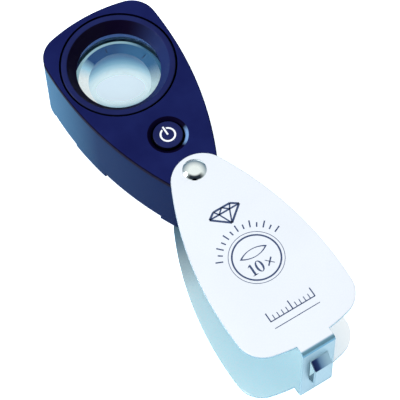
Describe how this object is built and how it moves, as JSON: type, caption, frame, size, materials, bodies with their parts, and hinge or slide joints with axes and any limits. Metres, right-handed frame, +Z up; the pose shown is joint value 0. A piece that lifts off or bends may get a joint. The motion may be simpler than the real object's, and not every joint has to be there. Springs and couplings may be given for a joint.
{
  "type": "jewelers loupe",
  "caption": "Folding pocket magnifier: a lighted triplet lens head with a push button swings on one rivet out of a U-shaped sheet-metal cover with a cord bridge.",
  "frame": {"origin": "centre of the base of the bounding box, with the head swung straight out of its cover", "axes": "+Y from the cover towards the lens end of the head, +Z up along the rivet and the lens axis, eye side up, +X to the right"},
  "size_m": [0.026, 0.0886, 0.0234],
  "materials": {
    "head_plastic": "fine matt navy moulding",
    "inner_plastic": "plain black moulding",
    "cover_metal": "bead-blasted satin",
    "rivet_metal": "polished",
    "washer_metal": "plain",
    "nylon": "natural nylon",
    "bush_metal": "turned",
    "barrel_metal": "anodised",
    "glass": "polished and coated",
    "frosted": "frosted",
    "board": "solder-masked laminate",
    "lamp": "phosphor-filled resin",
    "cell_metal": "nickel plated",
    "contact_metal": "plated spring metal",
    "wire_skin": "smooth insulation",
    "screw_metal": "black oxide",
    "white_mark": "white inlay"
  },
  "bodies": {
    "cover": {"cover_shell": "cover_metal", "pivot_rivet": "rivet_metal", "rivet_cap": "rivet_metal", "upper_washer": "nylon", "lower_washer": "nylon", "spring_washer": "washer_metal"},
    "head": {"upper_housing": "head_plastic", "battery_door": "head_plastic", "rear_cover": "head_plastic", "pivot_bush": "bush_metal", "lens_bezel": "head_plastic", "lens_barrel": "barrel_metal", "lens_retaining_ring": "inner_plastic", "front_element": "glass", "middle_element": "glass", "rear_element": "glass", "led_board": "board", "leds": "lamp", "light_diffuser": "frosted", "battery_holder": "inner_plastic", "button_cells": "cell_metal", "negative_contact": "contact_metal", "positive_contact": "contact_metal", "switch_board": "board", "tact_switch": "inner_plastic", "led_leads": "wire_skin", "door_screws": "screw_metal", "rear_screws": "screw_metal"},
    "button": {"power_button": "head_plastic", "button_symbol": "white_mark", "switch_plunger": "white_mark"}
  },
  "joints": [
    {"name": "head_swing", "type": "hinge", "parent": "cover", "child": "head", "pos_m": [0, 0.00205, 0.0129], "axis": [0, 0, 1], "continuous": true},
    {"name": "button_press", "type": "slide", "parent": "head", "child": "button", "axis": [0, 0, -1], "range_m": [0, 0.0005], "stiffness_N_per_m": 1500}
  ]
}
